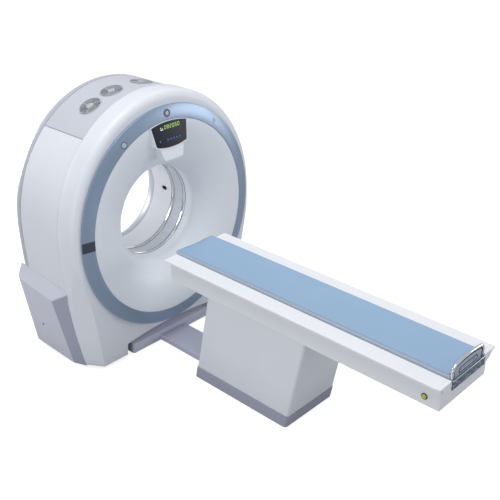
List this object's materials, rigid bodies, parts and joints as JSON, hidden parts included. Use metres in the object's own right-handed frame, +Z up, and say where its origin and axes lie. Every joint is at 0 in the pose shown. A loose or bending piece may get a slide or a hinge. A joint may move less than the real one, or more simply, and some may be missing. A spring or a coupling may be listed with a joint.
{
  "type": "ct scanner",
  "caption": "Ring-shaped scanner gantry with a wide bore, standing in front of a raised patient table whose padded cradle slides into the bore.",
  "frame": {"origin": "on the floor, under the bore axis, in the plane of the gantry's front ring", "axes": "+Y from the table towards the gantry, along the bore axis; +X to the right seen from the table; +Z up"},
  "size_m": [1.7348, 3.207, 1.9518],
  "materials": {
    "cover_white": "satin moulded covers",
    "ring_blue": "satin grey-blue",
    "funnel_grey": "satin pale grey",
    "bore_white": "satin",
    "window_pale": "thin translucent film, pale",
    "bright_metal": "polished",
    "dark_plate": "dark, semi-gloss",
    "display_dark": "dark glossy panel",
    "key_blue": "lit blue keys",
    "badge_grey": "satin",
    "grille_grey": "matt",
    "fan_black": "matt",
    "foot_grey": "satin powder coat",
    "pedestal_white": "satin powder coat",
    "skirt_grey": "satin",
    "plate_pale": "satin, with a dark rubber edge",
    "tray_white": "satin",
    "panel_slate": "fine speckle",
    "black_plastic": "satin",
    "stop_yellow": "gloss",
    "cradle_grey": "satin carbon-composite shell, painted",
    "pad_blue": "light-blue coated cover",
    "frame_steel": "painted",
    "bearing_steel": "ground",
    "rotor_alu": "cast and machined",
    "unit_grey": "painted",
    "brass": "machined",
    "rubber_black": "matt"
  },
  "bodies": {
    "gantry": {"base_frame": "frame_steel", "stand": "frame_steel", "bearing_outer_ring": "bearing_steel", "drive_motor": "unit_grey", "drive_belt": "rubber_black", "brush_block": "black_plastic", "front_cover": "cover_white", "front_ring": "ring_blue", "ring_plate": "dark_plate", "ring_badge": "badge_grey", "bore_funnel": "funnel_grey", "window_rings": "bright_metal", "scan_window": "window_pale", "rear_bore_liner": "bore_white", "rear_cover": "cover_white", "top_cover": "cover_white", "side_cover_left": "cover_white", "side_cover_right": "cover_white", "side_box_left": "cover_white", "side_box_right": "cover_white", "fan_guards": "grille_grey", "console_housing": "funnel_grey", "console_display": "display_dark", "cross_foot": "foot_grey", "floor_duct": "foot_grey", "pedestal_base": "frame_steel", "pedestal_skirt": "skirt_grey", "lift_column": "frame_steel"},
    "rotor": {"rotor_drum": "rotor_alu", "bearing_inner_ring": "bearing_steel", "bearing_rollers": "bearing_steel", "slip_ring": "brass", "xray_tube": "unit_grey", "collimator": "unit_grey", "detector_arc": "unit_grey", "generator_box": "unit_grey", "heat_exchanger": "rotor_alu"},
    "pulley": {"drive_pulley": "rotor_alu"},
    "fan_1": {"fan_rotor_1": "fan_black"},
    "fan_2": {"fan_rotor_2": "fan_black"},
    "fan_3": {"fan_rotor_3": "fan_black"},
    "key_1": {"console_key_1": "key_blue"},
    "key_2": {"console_key_2": "key_blue"},
    "key_3": {"console_key_3": "key_blue"},
    "key_4": {"console_key_4": "key_blue"},
    "key_5": {"console_key_5": "key_blue"},
    "key_6": {"console_key_6": "key_blue"},
    "lift_screw": {"lift_screw": "bearing_steel"},
    "table": {"pedestal_cover": "pedestal_white", "table_chassis": "frame_steel", "tray": "tray_white", "end_cap": "tray_white", "end_panel": "panel_slate", "stop_bezels": "black_plastic"},
    "stop_left": {"stop_button_left": "stop_yellow"},
    "stop_right": {"stop_button_right": "stop_yellow"},
    "cradle": {"cradle": "cradle_grey", "cradle_pad": "pad_blue", "cradle_handle": "bright_metal", "handle_plate": "plate_pale"}
  },
  "joints": [
    {"name": "rotor_spin", "type": "hinge", "parent": "gantry", "child": "rotor", "pos_m": [0, 0.306, 1.03], "axis": [0, 1, 0], "continuous": true},
    {"name": "pulley_spin", "type": "hinge", "parent": "gantry", "child": "pulley", "pos_m": [0.49173, 0.437, 0.44398], "axis": [0, 1, 0], "continuous": true},
    {"name": "fan_1_spin", "type": "hinge", "parent": "gantry", "child": "fan_1", "pos_m": [-0.34676, 0.372, 1.85468], "axis": [-0.4461, 0, 0.895], "continuous": true},
    {"name": "fan_2_spin", "type": "hinge", "parent": "gantry", "child": "fan_2", "pos_m": [-0.15894, 0.372, 1.92034], "axis": [-0.2071, 0, 0.9783], "continuous": true},
    {"name": "fan_3_spin", "type": "hinge", "parent": "gantry", "child": "fan_3", "pos_m": [0.10873, 0.372, 1.92924], "axis": [0.1419, 0, 0.9899], "continuous": true},
    {"name": "key_1_press", "type": "slide", "parent": "gantry", "child": "key_1", "axis": [0, 0.9839, -0.1789], "range_m": [0, 0.001], "stiffness_N_per_m": 400, "springref_m": -0.001},
    {"name": "key_2_press", "type": "slide", "parent": "gantry", "child": "key_2", "axis": [0, 0.9839, -0.1789], "range_m": [0, 0.001], "stiffness_N_per_m": 400, "springref_m": -0.001},
    {"name": "key_3_press", "type": "slide", "parent": "gantry", "child": "key_3", "axis": [0, 0.9839, -0.1789], "range_m": [0, 0.001], "stiffness_N_per_m": 400, "springref_m": -0.001},
    {"name": "key_4_press", "type": "slide", "parent": "gantry", "child": "key_4", "axis": [0, 0.9839, -0.1789], "range_m": [0, 0.001], "stiffness_N_per_m": 400, "springref_m": -0.001},
    {"name": "key_5_press", "type": "slide", "parent": "gantry", "child": "key_5", "axis": [0, 0.9839, -0.1789], "range_m": [0, 0.001], "stiffness_N_per_m": 400, "springref_m": -0.001},
    {"name": "key_6_press", "type": "slide", "parent": "gantry", "child": "key_6", "axis": [0, 0.9839, -0.1789], "range_m": [0, 0.001], "stiffness_N_per_m": 400, "springref_m": -0.001},
    {"name": "table_lift", "type": "slide", "parent": "gantry", "child": "table", "axis": [0, -0.202, 0.9794], "range_m": [0, 0.1]},
    {"name": "screw_spin", "type": "hinge", "parent": "gantry", "child": "lift_screw", "pos_m": [0, -0.91062, 0.1], "axis": [0, -0.202, 0.9794], "range_deg": [0, 1800.5]},
    {"name": "stop_left_press", "type": "slide", "parent": "table", "child": "stop_left", "axis": [1, 0, 0], "range_m": [0, 0.002], "stiffness_N_per_m": 600, "springref_m": -0.002},
    {"name": "stop_right_press", "type": "slide", "parent": "table", "child": "stop_right", "axis": [-1, 0, 0], "range_m": [0, 0.002], "stiffness_N_per_m": 600, "springref_m": -0.002},
    {"name": "cradle_slide", "type": "slide", "parent": "table", "child": "cradle", "axis": [0, 1, 0], "range_m": [0, 1.6]}
  ],
  "couplings": [
    {"joint": "pulley_spin", "follows": "rotor_spin", "ratio": 11},
    {"joint": "screw_spin", "follows": "table_lift", "rad_per_m": 314.16}
  ]
}
